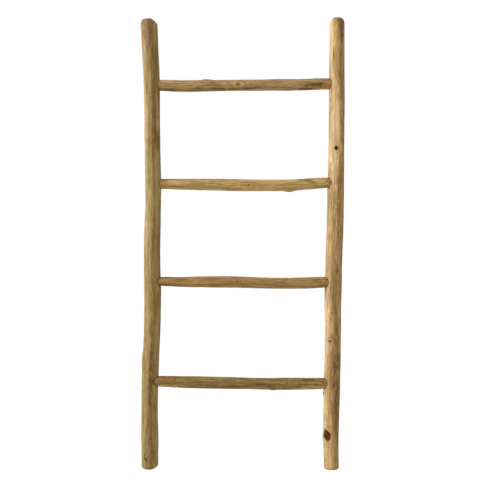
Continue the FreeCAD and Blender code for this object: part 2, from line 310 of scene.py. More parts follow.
# Marks at the front follow the photograph, and a few more are on the sides that it doesn't show. Some stains
# that run from end to end along a side are painted shade away from the key lamp, and painted highlight on the
# lit side.
# Along is counted from the foot of a rail, and on a rung from the middle of the ladder.
LEFT_RAIL_MARKS = [
    Check(46.5, -35, 9, 3.6, 1.6, slant=-20),
    Check(32.5, -27, 22, 5.2, 2.4, slant=-28),
    Knot(372, 15, 1.3, 0.6, 0.2),
    Knot(362, 22, 1, 0.5, 0.2),
    Knot(1050, 48, 1.8, 0.4, 0.4),
    Knot(700, 165, 5, 1.2, 1.2),
    Knot(1010, -140, 3.5, 0.8, 0.8),
    Check(480, 152, 95, 1.2, 2.5, slant=2),
    Check(1235, -118, 70, 1, 2, slant=-2),
    StainAndShading(RAIL_MIDDLE, -10, RAIL_LONG, 24, 0.25),
    StainAndShading(RAIL_MIDDLE, 44, RAIL_LONG, 12, -0.15),
    # Painted shade: a dark band down the right side, away from the key lamp
    StainAndShading(RAIL_MIDDLE, 88, RAIL_LONG, 14, 0.6),
    # Painted highlight: a pale band down the lit left side
    StainAndShading(RAIL_MIDDLE, -76, RAIL_LONG, 14, -0.2),
    StainAndShading(1315, 10, 150, 60, 0.4),
    StainAndShading(1040, 0, 160, 20, 0.2),
    StainAndShading(860, 30, 180, 36, -0.65),
    StainAndShading(790, -45, 150, 20, -0.5),
    StainAndShading(650, -10, 250, 50, -0.5),
    StainAndShading(385, 45, 260, 20, -0.4),
    StainAndShading(416, 0, 70, 16, 0.3),
    StainAndShading(1285, 58, 70, 12, -0.5, fade=0.5),
    StainAndShading(1212, 54, 80, 16, 0.4),
    StainAndShading(979, 56, 50, 14, 0.35),
    StainAndShading(690, 56, 110, 16, 0.35),
    StainAndShading(250, 6, 150, 14, 0.35),
    StainAndShading(330, 30, 150, 24, 0.3),
    StainAndShading(150, 30, 220, 24, 0.2),
    StainAndShading(112, 54, 110, 16, -0.5),
    StainAndShading(98, -54, 90, 16, -0.4),
    StainAndShading(859, 54, 70, 18, -0.8),
    StainAndShading(1038, 54, 70, 16, -0.8),
    StainAndShading(1005, -56, 130, 14, -0.5),
]

RIGHT_RAIL_MARKS = [
    Knot(106, -32, 11.2, 3, 1.4, ratio=1.7, slant=-18, roundness=1.4, taper=0.4),
    Knot(228, -70, 3, 0.3, 1.2, dark=0.2),
    Check(384, -26, 18, 4.6, 3, slant=118),
    StainAndShading(377, -16, 22, 10, -0.4),
    Knot(959, -5, 6, 1.8, 0.9, ratio=1.15),
    Check(958, -5, 14, 6, 0.6, dark=0.7),
    Knot(1151, 26, 1.5, 0.5, 0.3, dark=0.7),
    Knot(1010, 26, 1.5, 0.5, 0.3, dark=0.7),
    Knot(912, -52, 1.5, 0.5, 0.3, dark=0.7),
    Knot(889, -76, 1.6, 0.5, 0.4, dark=0.7),
    Knot(520, 170, 4.5, 1, 1.2),
    Knot(1235, 140, 3, 0.8, 0.6),
    Check(760, -160, 110, 1.2, 2.6, slant=-2),
    Check(1340, 9, 18, 2.6, 2, slant=-3),
    Check(1312, 22, 60, 2, 0.5, slant=-11, dark=0.5),
    Check(1231, -31, 40, 2.2, 0.3, slant=3, dark=0.4),
    Check(1172, -8, 88, 2.2, 0.3, slant=-13, dark=0.45),
    Check(1106, 14, 52, 2.2, 0.3, dark=0.4),
    Check(1100, -37, 127, 2.2, 0.3, slant=1, dark=0.35),
    Check(800, -5, 32, 2.2, 0.3, dark=0.45),
    Check(712, 14, 56, 2.6, 0.3, dark=0.4),
    Bulge(1165, -15, 130, 30, 2.5),
    Bulge(905, -5, 110, 26, 2.5),
    Bulge(830, 8, 120, 24, 2),
    Bulge(560, -10, 140, 26, 2),
    # Painted shade: dark bands down the front right and the right edge, away from the key lamp
    StainAndShading(RAIL_MIDDLE, 52, RAIL_LONG, 24, 0.3),
    StainAndShading(RAIL_MIDDLE, 84, RAIL_LONG, 18, 0.9),
    # Painted highlight: a pale band down the lit left side
    StainAndShading(RAIL_MIDDLE, -76, RAIL_LONG, 14, -0.3),
    StainAndShading(1316, 34, 84, 18, 0.6, fade=0.5),
    StainAndShading(883, 26, 92, 13, 0.5),
    StainAndShading(1215, -4, 220, 24, -0.3),
    StainAndShading(1035, -52, 110, 16, 0.3),
    StainAndShading(985, -8, 260, 38, -0.9),
    StainAndShading(560, -2, 170, 22, 0.5),
    StainAndShading(336, 0, 190, 30, 0.3),
    StainAndShading(217, 6, 190, 46, 0.4),
    StainAndShading(207, -50, 140, 20, -0.6),
    StainAndShading(66, -24, 200, 34, -0.6),
    StainAndShading(705, 0, 200, 42, 0.15),
    StainAndShading(386, -64, 250, 24, -0.5, fade=0.25, rough=0.1),
    StainAndShading(386, 20, 220, 34, 0.25),
    StainAndShading(130, 22, 200, 28, 0.2),
    StainAndShading(470, 52, 110, 16, -0.4),
    StainAndShading(1300, -52, 130, 16, -0.5),
    StainAndShading(1010, -58, 110, 14, 0.4),
    StainAndShading(1010, 56, 110, 14, 0.4),
    StainAndShading(800, 54, 150, 14, -0.4),
]

BOTTOM_RUNG_MARKS = [
    Check(-79, -24, 9, 3.4, 1, dark=0.8),
    Check(-62, -28, 12, 2.4, 0.6, dark=0.5),
    Knot(92, -70, 3.5, 0.6, 1),
    Knot(150, 150, 3, 0.6, 0.8),
    Check(-120, 160, 60, 0.9, 1.6),
    Bulge(-150, 10, 90, 16, 1.6),
    Bulge(30, 0, 120, 18, 2),
    StainAndShading(20, -10, 240, 14, 0.35),
    StainAndShading(0, -52, RUNG_LONG, 12, -0.2),
    StainAndShading(-215, -52, 100, 14, -1.0),
    StainAndShading(218, -40, 90, 16, -0.9, fade=0.6),
    StainAndShading(60, 0, 60, 10, 0.35),
    StainAndShading(192, -58, 60, 10, -0.8),
    StainAndShading(143, 50, 50, 12, -0.5),
    StainAndShading(197, 50, 40, 12, 0.7),
    StainAndShading(-143, 50, 46, 12, 0.4),
]

LOWER_RUNG_MARKS = [
    Knot(-15, 2, 3.2, 0.4, 0.6, dark=0.25),
    Knot(130, 120, 3, 0.6, 0.7),
    Check(60, -150, 70, 0.9, 1.6),
    Bulge(-50, 5, 130, 16, 1.6),
    StainAndShading(-215, -30, 60, 16, 0.4),
    StainAndShading(-100, -10, 100, 16, -0.35),
    StainAndShading(70, 0, 110, 12, 0.35),
    StainAndShading(170, 0, 90, 12, -0.45),
    StainAndShading(-239, -50, 40, 12, 0.5),
]

UPPER_RUNG_MARKS = [
    Knot(19, 2, 2.2, 0.5, 0.4, dark=0.8),
    Knot(137, -74, 4.5, 0.8, 1.2, dark=0.4),
    Knot(-140, 160, 3.2, 0.7, 0.8),
    Check(-50, 140, 80, 0.9, 1.6),
    StainAndShading(-195, 12, 100, 20, -0.5),
    StainAndShading(52, -4, 70, 14, 0.45),
    StainAndShading(191, 48, 40, 12, 0.7),
    StainAndShading(143, 50, 46, 12, -0.6),
    StainAndShading(206, 14, 24, 6, 0.6, rough=0.6),
    StainAndShading(250, 14, 12, 7, 0.6, rough=0.6),
]

TOP_RUNG_MARKS = [
    Knot(-11, 4, 6, 0.9, 1.4, dark=0.45),
    Knot(-105, 70, 6, 0.1, 0.4, dark=0.3),
    Knot(110, -150, 3, 0.6, 0.8),
    Check(80, 170, 70, 0.9, 1.6),
    # Painted shade: a dark band along the underside
    StainAndShading(0, -50, RUNG_LONG, 14, 0.3),
    # Painted highlight: a pale band along the lit top
    StainAndShading(0, 45, RUNG_LONG, 12, -0.3),
    StainAndShading(-80, -25, 150, 18, 0.3),
    StainAndShading(140, -5, 120, 14, -0.35),
    StainAndShading(-43, -50, 80, 12, 0.5),
    StainAndShading(20, -34, 50, 10, 0.5),
    StainAndShading(198, -10, 46, 16, 0.9, fade=0.5, rough=0.5),
    StainAndShading(226, -2, 36, 22, 1.0, fade=0.4, rough=0.5),
    StainAndShading(192, -54, 54, 12, 0.7),
    StainAndShading(-230, -54, 70, 12, 0.5),
    StainAndShading(-232, 46, 60, 12, -0.5),
    StainAndShading(-75, 0, 80, 14, 0.3),
]

# The poles. The seed starts a pole's random draws. Mottle is the strength of its blotches and specks, and
# figure that of its growth lines. The ridge is the bearing of one edge between two flats, at the start of
# the pole and at its end. A foot or a top is worn: how far in, to what share of the radius at the very end,
# and how strongly the hewing of the solid is cut. The tones are the wood where it is pale, middling, deep
# and dark.
RAILS = {
    "left_rail": {
        "seed": 11,
        "mottle": 0.28,
        "ridge": (-4, 2),
        "foot": (8 * MM, 0.35, 1.35),
        "top": (15 * MM, 0.7, 1.5),
        "figure": 0.25,
        "tones": (srgb(181, 151, 96), srgb(159, 128, 73), srgb(121, 93, 49), srgb(104, 73, 34)),
        "marks": LEFT_RAIL_MARKS,
    },
    "right_rail": {
        "seed": 23,
        "mottle": 0.2,
        "ridge": (24, 16),
        "foot": (5 * MM, 0.7, 1.35),
        "top": (20 * MM, 0.55, 1.9),
        "figure": 0.5,
        "tones": (srgb(226, 190, 135), srgb(201, 161, 106), srgb(152, 116, 66), srgb(114, 82, 43)),
        "marks": RIGHT_RAIL_MARKS,
    },
}

# Shaved is the length whittled bare outside the left rail and the right rail.
RUNGS = {
    "bottom_rung": {
        "seed": 31,
        "mottle": 0.34,
        "ridge": (20, 30),
        "figure": 0.6,
        "tones": (srgb(176, 142, 81), srgb(149, 116, 63), srgb(112, 87, 43), srgb(86, 65, 31)),
        "shaved": (48 * MM, 8 * MM),
        "marks": BOTTOM_RUNG_MARKS,
    },
    "lower_rung": {
        "seed": 37,
        "mottle": 0.2,
        "ridge": (-10, 5),
        "figure": 0.2,
        "tones": (srgb(197, 156, 97), srgb(168, 129, 76), srgb(126, 94, 51), srgb(96, 69, 36)),
        "shaved": (6 * MM, 5 * MM),
        "marks": LOWER_RUNG_MARKS,
    },
    "upper_rung": {
        "seed": 41,
        "mottle": 0.24,
        "ridge": (35, 22),
        "figure": 0.3,
        "tones": (srgb(220, 186, 120), srgb(195, 160, 99), srgb(154, 124, 72), srgb(114, 88, 47)),
        "shaved": (27 * MM, 6 * MM),
        "marks": UPPER_RUNG_MARKS,
    },
    "top_rung": {
        "seed": 43,
        "mottle": 0.28,
        "ridge": (12, 18),
        "figure": 0.25,
        "tones": (srgb(209, 173, 119), srgb(180, 145, 96), srgb(137, 109, 65), srgb(99, 76, 38)),
        "shaved": (3 * MM, 24 * MM),
        "marks": TOP_RUNG_MARKS,
    },
}


def windows(field, width):
    """Every run of rows of a width, in a last axis of its own."""
    return np.lib.stride_tricks.sliding_window_view(field, width, axis=0)


def blurred(field, spread):
    """Field blurred along its rows by a bell curve, with its ends held. Spread is in rows."""
    reach = math.ceil(3 * spread)
    taps = np.exp(-0.5 * (np.arange(-reach, reach + 1) / spread) ** 2)
    held = np.pad(field, ((reach, reach), (0, 0)), mode="edge")
    return windows(held, len(taps)) @ (taps / taps.sum())


def rounded(field, spread):
    """Field blurred round the pole. Spread is in columns."""
    reach = math.ceil(3 * spread)
    turns = np.pad(field, ((0, 0), (reach, reach)), mode="wrap")
    return blurred(turns.T, spread).T[:, reach:-reach]


def bridged(field, reach):
    """Field whose dips along the rows, up to twice the reach long, are filled level."""
    empty = np.pad(field, ((2 * reach, 2 * reach), (0, 0)))
    raised = windows(empty, 2 * reach + 1).max(axis=-1)
    return windows(raised, 2 * reach + 1).min(axis=-1)


def between(corner, down, across):
    """Value inside a cell from the values at its corners, numbered by row and column."""
    near = corner(0, 0) * (1 - across) + corner(0, 1) * across
    far = corner(1, 0) * (1 - across) + corner(1, 1) * across
    return near * (1 - down) + far * down


def drift(seed, along, bearing, cell_length, cells_round):
    """Smooth noise from -1 to 1 over places along and round a pole, without a seam."""
    cells, first = 1024, 400
    table = np.random.default_rng(seed).uniform(-1, 1, (cells, cells_round))
    steps, turns = along / cell_length + first, bearing / math.tau * cells_round
    row, column = np.floor(steps).astype(int), np.floor(turns).astype(int)

    def corner(i, j):
        return table[(row + i) % cells, (column + j) % cells_round]

    return between(corner, eased(steps - row), eased(turns - column))


class Pole:
    """A pole of the frame: its centre line, its round form, and what is carved on it."""

    def __init__(self, node, axis, columns, look):
        self.axis, self.side_axis, self.look = axis, 2 - axis, look
        self.bearings = np.arange(columns) * math.tau / columns
        low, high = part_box(node)
        self.start, self.end = low[axis], high[axis]
        self.zero = self.start if axis == RAIL_AXIS else 0  # where the marks are counted from
        self.rows = np.arange(self.start + END_MARGIN, self.end - END_MARGIN, ROW_STEP)
        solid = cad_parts[node].data
        corners = [vertex.co for vertex in solid.vertices]
        self.tree = BVHTree.FromPolygons(corners, [face.vertices for face in solid.polygons])
        self.line = self.find_line((low + high) / 2)
        self.solid = bridged(self.cast(self.rows, self.line, self.bearings), round(SOCKET_REACH / ROW_STEP))
        self.form = self.find_form()

    def inner_rows(self):
        """Row numbers, held at the hewn ends of a rail to the nearest row of whole pole."""
        hewn = round(END_ZONE / ROW_STEP) if self.axis == RAIL_AXIS else 0
        return np.clip(np.arange(len(self.rows)), hewn, len(self.rows) - 1 - hewn)

    def cast(self, rows, line, bearings):
        """Radius of the solid's outside at each row and bearing, or 0 where a bore opens to the middle."""
        radius = np.zeros((len(rows), len(bearings)))
        for i, (along, (side, depth)) in enumerate(zip(rows, line)):
            for j, bearing in enumerate(bearings):
                way = Vector((0, -math.cos(bearing), 0))
                way[self.side_axis] = math.sin(bearing)
                origin = way * RAY_START
                origin.y += depth
                origin[self.side_axis] += side
                origin[self.axis] = along
                distance = self.tree.ray_cast(origin, -way, RAY_START)[3]
                if distance is not None:
                    radius[i, j] = RAY_START - distance
        return radius

    def find_line(self, middle):
        """Centre of the pole at each row, as its place to the side and its place in depth."""
        sparse = self.rows[::LINE_STRIDE]
        spokes = np.arange(LINE_SPOKES) * math.tau / LINE_SPOKES
        guess = np.tile([middle[self.side_axis], middle.y], (len(sparse), 1))
        girth = bridged(self.cast(sparse, guess, spokes), round(SOCKET_REACH / ROW_STEP / LINE_STRIDE))
        side = 2 * (girth * np.sin(spokes)).mean(axis=1)
        front = 2 * (girth * np.cos(spokes)).mean(axis=1)
        found = guess + np.stack([side, -front], axis=1)
        line = np.stack([np.interp(self.rows, sparse, found[:, k]) for k in (0, 1)], axis=1)
        inner = self.inner_rows()
        line = blurred(line[inner], LINE_BLUR / ROW_STEP)
        if inner[0]:
            for edge, back in ((inner[0], 2 * inner[0]), (inner[-1], inner[-1] - inner[0])):
                slope = (line[edge] - line[back]) / (edge - back)
                past = np.arange(len(line)) - edge
                past = np.where(past * (edge - back) > 0, past, 0)
                line = line + past[:, None] * slope
        return line

    def find_form(self):
        """Radius of the pole as it grew, without flats, bores or hewn ends."""
        waves = np.fft.rfft(self.solid[self.inner_rows()], axis=1)
        waves[:, ROUND_WAVES:] = 0
        return blurred(np.fft.irfft(waves, len(self.bearings), axis=1), FORM_BLUR / ROW_STEP)

    def sampled(self, field, along, bearing):
        """Field of rows and bearings at any places."""
        step = np.clip((along - self.rows[0]) / ROW_STEP, 0, len(self.rows) - 1.001)
        turn = bearing / math.tau * len(self.bearings)
        row, column = np.floor(step).astype(int), np.floor(turn).astype(int)

        def corner(i, j):
            return field[row + i, (column + j) % len(self.bearings)]

        return between(corner, step - row, turn - column)

    def noise(self, layers, along, bearing, skip=0):
        """Sum of layers of noise at places on the pole, with their numbers moved on by a skip."""
        total = np.zeros_like(along)
        for number, strength, cell_length, cells_round in layers:
            seed = self.look["seed"] + number + skip
            total += strength * drift(seed, along, bearing, cell_length, cells_round)
        return total

    def centre(self, along):
        """Place of the centre line to the side and in depth."""
        return [np.interp(along, self.rows, self.line[:, k]) for k in (0, 1)]

    def points(self, along, bearing, radius):
        """Points in space for places on the pole."""
        side, depth = self.centre(along)
        place = np.empty((*np.shape(radius), 3))
        place[..., self.axis] = along
        place[..., self.side_axis] = side + radius * np.sin(bearing)
        place[..., 1] = depth - radius * np.cos(bearing)
        return place

    def places(self, points):
        """Along, bearing and radius of points in space."""
        along = points[:, self.axis]
        side, depth = self.centre(along)
        across, front = points[:, self.side_axis] - side, depth - points[:, 1]
        return along, np.arctan2(across, front), np.hypot(across, front)

    def outside(self, points):
        """Distance of points from the round form, outward, or a long way where the pole doesn't reach."""
        along, bearing, radius = self.places(points)
        apart = radius - self.sampled(self.form, along, bearing)
        return np.where((along > self.start) & (along < self.end), apart, 1.0)

    def ridges(self, along, wander):
        """Bearings of the edges between flats at each place along, in one turn."""
        start, end = self.look["ridge"]
        share = (along - self.start) / (self.end - self.start)
        front = np.zeros_like(along)
        bearings = []
        for k in range(FLAT_COUNT):
            sway = self.noise(RIDGE_SWAY, along, front, skip=k)
            bearings.append(np.radians(start + (end - start) * share + 360 / FLAT_COUNT * k) + wander * sway)
        return np.stack(bearings, axis=-1)

    def flat(self, along, bearing, wander):
        """Number of the flat at each place, the angle from its middle, and half the angle it spans."""
        ridges = self.ridges(along, wander)
        edges = ridges - ridges[..., :1]
        edges = np.concatenate([edges, np.full((*edges.shape[:-1], 1), math.tau)], axis=-1)
        turned = (bearing - ridges[..., 0]) % math.tau
        number = (turned[..., None] >= edges[..., 1:]).sum(axis=-1)
        low = np.take_along_axis(edges, number[..., None], axis=-1)[..., 0]
        high = np.take_along_axis(edges, number[..., None] + 1, axis=-1)[..., 0]
        return number, turned - (low + high) / 2, (high - low) / 2

    def mark_offsets(self, mark, along, bearing):
        """How far places lie from a mark, round the pole and along it, in millimetres."""
        turn = wrapped(bearing - math.radians(mark.bearing))
        return turn * self.form.mean() / MM, (along - self.zero) / MM - mark.along

    def mesh_rows(self):
        """Places along the pole for its mesh, closer together at its ends and its marks."""
        marks = [mark for mark in self.look["marks"] if isinstance(mark, CARVED)]
        places = [self.start, *(self.start + step for step in RIM_STEPS)]
        while places[-1] < self.end - RIM_STEPS[-1] - FINE_STEP:
            along = places[-1]
            near_end = min(along - self.start, self.end - along) < FINE_ZONE
            near_mark = any(abs((along - self.zero) / MM - mark.along) < mark.reach() for mark in marks)
            places.append(along + (FINE_STEP if near_end or near_mark else LONG_STEP))
        places += [*(self.end - step for step in reversed(RIM_STEPS)), self.end]
        return np.array(places)

    def cut_flats(self, along, bearing, settings):
        """Radius of the round form after the drawknife, with edges that are crisp or worn in places."""
        change = self.noise(FLATNESS_CHANGE, along, bearing)
        _, off, half = self.flat(along, bearing, settings.wander)
        cut = settings.flatness * (1 + change) * (1 - np.cos(half) / np.cos(off))
        radius = self.sampled(self.form, along, bearing) * (1 - cut + cut.mean())
        column = self.form.mean() * math.tau / len(self.bearings)
        crisp = eased(CRISP_SHARE + self.noise(CRISP_CHANGE, along, bearing))
        worn = rounded(radius, WORN_EDGE / column)
        return crisp * rounded(radius, CRISP_EDGE / column) + (1 - crisp) * worn

    def carve(self, settings):
        """Along, bearing and radius of the worked surface at each point of the mesh."""
        along, bearing = np.meshgrid(self.mesh_rows(), self.bearings, indexing="ij")
        radius = self.cut_flats(along, bearing, settings)
        radius += settings.waviness * self.noise(WAVES, along, bearing)
        radius += settings.fibre * self.noise(FIBRES, along, bearing)
        for mark in self.look["marks"]:
            if isinstance(mark, CARVED):
                radius += MM * mark.relief(*self.mark_offsets(mark, along, bearing))
        return along, bearing, radius

    def hew_ends(self, along, bearing, radius):
        """Radius cut back to the hewn ends of a rail's solid, with soft shoulders, and worn at the rims."""
        rows, columns = HEWN_BLUR
        hewn = blurred(rounded(self.sampled(self.form - self.solid, along, bearing), columns), rows)
        for end, inward in (("foot", along - self.start), ("top", self.end - along)):
            reach, rim, share = self.look[end]
            sunk = np.where(inward < END_ZONE, np.maximum(hewn, 0), 0)
            short = np.clip(1 - inward / reach, 0, 1)
            radius = radius - share * sunk**2 / (sunk + SHOULDER)
            radius = radius * (rim + (1 - rim) * np.sqrt(1 - short**2))
        return radius

    def whittle(self, along, bearing, radius, neighbours):
        """Radius with short knife cuts where a rung runs into the rails."""
        points = self.points(along, bearing, radius).reshape(-1, 3)
        cuts = KNIFE_CUT * (1 + self.noise(KNIFE_CHANGE, along, bearing))
        for rail, bare in neighbours:
            apart = rail.outside(points).reshape(radius.shape)
            radius = radius - cuts * eased((bare - apart) / KNIFE_FADE + 0.5)
        return radius


def add_object(name, data):
    """Object in the scene."""
    thing = bpy.data.objects.new(name, data)
    bpy.context.scene.collection.objects.link(thing)
    return thing


def new_piece(name, points, faces):
    """Object with a closed mesh whose faces look outward."""
    mesh = bpy.data.meshes.new(name)
    mesh.from_pydata([tuple(point) for point in points], [], faces)
    form = bmesh.new()
    form.from_mesh(mesh)
    bmesh.ops.recalc_face_normals(form, faces=form.faces)
    form.to_mesh(mesh)
    form.free()
    return add_object(name, mesh)


def smooth(mesh):
    """Shades a mesh smooth between its sharp edges."""
    mesh.shade_smooth()
    mesh.set_sharp_from_angle(angle=SHARP_EDGE)


def skin(rings, first, last):
    """Points and faces of a closed form: even rings of points, with a point that closes each end."""
    count, size = len(rings), len(rings[0])
    points = [*np.reshape(rings, (-1, 3)), first, last]
    faces = []
    for j in range(size):
        k = (j + 1) % size
        faces.append((k, j, count * size))
        faces.append(((count - 1) * size + j, (count - 1) * size + k, count * size + 1))
        for i in range(count - 1):
            faces.append((i * size + j, i * size + k, (i + 1) * size + k, (i + 1) * size + j))
    return points, faces


def turned(origin, way, profile, segments):
    """Points and faces of a round form: pairs of a distance along a way and a radius there."""
    origin, way = Vector(origin), Vector(way)
    right = way.orthogonal().normalized()
    up = way.cross(right)
    spokes = [k * math.tau / segments for k in range(segments)]
    rings = []
    for along, radius in profile:
        centre = origin + way * along
        rings.append([centre + radius * (right * math.cos(s) + up * math.sin(s)) for s in spokes])
    return skin(rings, origin + way * profile[0][0], origin + way * profile[-1][0])


def cut_away(piece, forms):
    """Bores round forms out of a piece."""
    points, faces = [], []
    for more_points, more_faces in forms:
        faces += [tuple(corner + len(points) for corner in face) for face in more_faces]
        points += more_points
    cutter = new_piece(f"{piece.name}_cutter", points, faces)
    bore = piece.modifiers.new("bore", "BOOLEAN")
    bore.operation, bore.solver, bore.object = "DIFFERENCE", "MANIFOLD", cutter
    evaluated = piece.evaluated_get(bpy.context.evaluated_depsgraph_get())
    whole, piece.data = piece.data, bpy.data.meshes.new_from_object(evaluated)
    if len(piece.data.polygons) == len(whole.polygons) or not piece.data.polygons:
        raise RuntimeError(f"nothing was bored out of {piece.name}")
    piece.modifiers.clear()
    bpy.data.objects.remove(cutter)
    bpy.data.meshes.remove(whole)


def end_relief(seed, bearing, share, girth):
    """Depth of the drying cracks in the end of a rail, at shares of the way out from its middle."""
    rng = np.random.default_rng(seed)
    depth = np.zeros(np.broadcast(bearing, share).shape)
    for start in rng.uniform(0, math.tau, END_CRACKS):
        length, width = rng.uniform(*END_CRACK_LENGTHS), rng.uniform(*END_CRACK_WIDTHS)
        turn = wrapped(bearing - start - END_CRACK_SWAY * np.sin(END_CRACK_BENDS * share))
        gape = bell(turn * share * girth / width) * eased(END_CRACK_TAPER * (length - share))
        depth = np.maximum(depth, gape)
    return END_CRACK_DEPTH * depth


def pole_piece(name, pole, rows, radius, cracked):
    """Closed mesh of a pole from its carved surface, with rings across its ends."""
    shares = np.array(CAP_RINGS)[:, None]
    foot, tip = radius[0] * shares[::-1], radius[-1] * shares
    along = np.concatenate([np.full(len(foot), rows[0]), rows, np.full(len(tip), rows[-1])])[:, None]
    along = np.broadcast_to(along, (len(along), radius.shape[1])).copy()
    if cracked:
        seed = pole.look["seed"]
        along[: len(foot)] += end_relief(seed, pole.bearings, shares[::-1], radius[0].mean())
        along[-len(tip) :] -= end_relief(seed + 1, pole.bearings, shares, radius[-1].mean())
    radius = np.concatenate([foot, radius, tip])
    rings = pole.points(along, pole.bearings[None, :], radius)
    ends = [pole.points(np.array(row), np.array(0.0), np.array(0.0)) for row in (rows[0], rows[-1])]
    return new_piece(name, *skin(rings, *ends))


def grow_grain(pole, along, bearing, radius):
    """Where each place lay in a straight pole, pushed aside by the knots, so that grain runs round them."""
    pushed = np.zeros_like(along)
    for mark in pole.look["marks"]:
        if isinstance(mark, Knot):
            across, run = pole.mark_offsets(mark, along, bearing)
            reach = (GRAIN_PUSH_REACH * mark.core) ** 2
            pushed -= GRAIN_PUSH * across * reach / (across**2 + (run / mark.ratio) ** 2 + reach)
    turn = bearing + MM * pushed / pole.form.mean()
    moved = along + GRAIN_START * pole.look["seed"]
    return np.stack([radius * np.cos(turn), radius * np.sin(turn), moved], axis=1)


def mark_looks(pole, along, bearing):
    """What marks do to the looks of places on a pole, and how far the wood is swollen there."""
    ragged = pole.noise(RAGGED, along, bearing)
    knot, halo, grime_and_shade, stain_and_shading, swollen = (np.zeros_like(along) for _ in range(5))
    ring = np.full_like(along, NO_RING)
    for mark in pole.look["marks"]:
        across, run = pole.mark_offsets(mark, along, bearing)
        if isinstance(mark, Knot):
            far = mark.far(across, run)
            knot = np.maximum(knot, mark.dark * eased((DARK_EDGE - far) / DARK_FADE))
            halo = np.maximum(halo, HALO_STRENGTH * bell(far / HALO_SPREAD))
            ring = np.minimum(ring, far)
            swollen += mark.relief(across, run)
        elif isinstance(mark, Check):
            opening = mark.opening(across, run, CRACK_GRIME_SPREAD)
            grime_and_shade = np.maximum(grime_and_shade, mark.dark * eased(CRACK_GRIME * opening))
        elif isinstance(mark, Bulge):
            swollen += mark.swell(across, run)
        # Stains, and the long bands of painted shade and painted highlight
        else:
            stain_and_shading += mark.weight(across, run, ragged)
    return {"knot": knot, "halo": halo, "ring": ring, "grime_and_shade": grime_and_shade, "stain_and_shading": stain_and_shading}, MM * swollen


def store(mesh, name, values):
    """Keeps a number or a vector for each point of a mesh."""
    vector = values.ndim == 2
    kept = mesh.attributes.new(name, "FLOAT_VECTOR" if vector else "FLOAT", "POINT")
    kept.data.foreach_set("vector" if vector else "value", values.astype(np.float32).ravel())


def write_looks(pole, piece, wander, neighbours):
    """Stores what the wood of a pole needs to know at each point of its mesh."""
    mesh = piece.data
    points = np.empty(len(mesh.vertices) * 3)
    mesh.vertices.foreach_get("co", points)
    points = points.reshape(-1, 3)
    along, bearing, radius = pole.places(points)
    looks, swollen = mark_looks(pole, along, bearing)
    cells = (pole.flat(along, bearing, wander)[0] + 0.01) * math.tau / FLAT_COUNT  # just inside a cell each
    looks["pale"] = pole.noise(FLAT_AGE, along, cells)
    beneath = pole.sampled(pole.form, along, bearing) - radius
    looks["depth"] = beneath + swollen + pole.noise(GROWTH_DRIFT, along, bearing)
    near_end = np.minimum(along - pole.start, pole.end - along) < END_ZONE
    looks["sawn"] = np.where(near_end, eased((beneath - SAWN_DEPTH) / SAWN_FADE), 0)
    looks["shaved"] = np.zeros_like(along)
    for neighbour, bare in neighbours:
        apart = neighbour.outside(points)
        # A thin ring of painted shade where the neighbour runs into this pole
        grime_and_shade = JOINT_SHADE * bell(np.maximum(apart, 0) / JOINT_SHADE_WIDTH)
        looks["grime_and_shade"] = np.maximum(looks["grime_and_shade"], grime_and_shade)
        if bare:
            reach = bare * (1 + pole.noise(SHAVED_CHANGE, along, bearing))
            looks["shaved"] = np.maximum(looks["shaved"], eased((reach - apart) / SHAVED_FADE + 0.5))
    looks["grain"] = grow_grain(pole, along, bearing, radius)
    for name, values in looks.items():
        store(mesh, name, values)
    smooth(mesh)


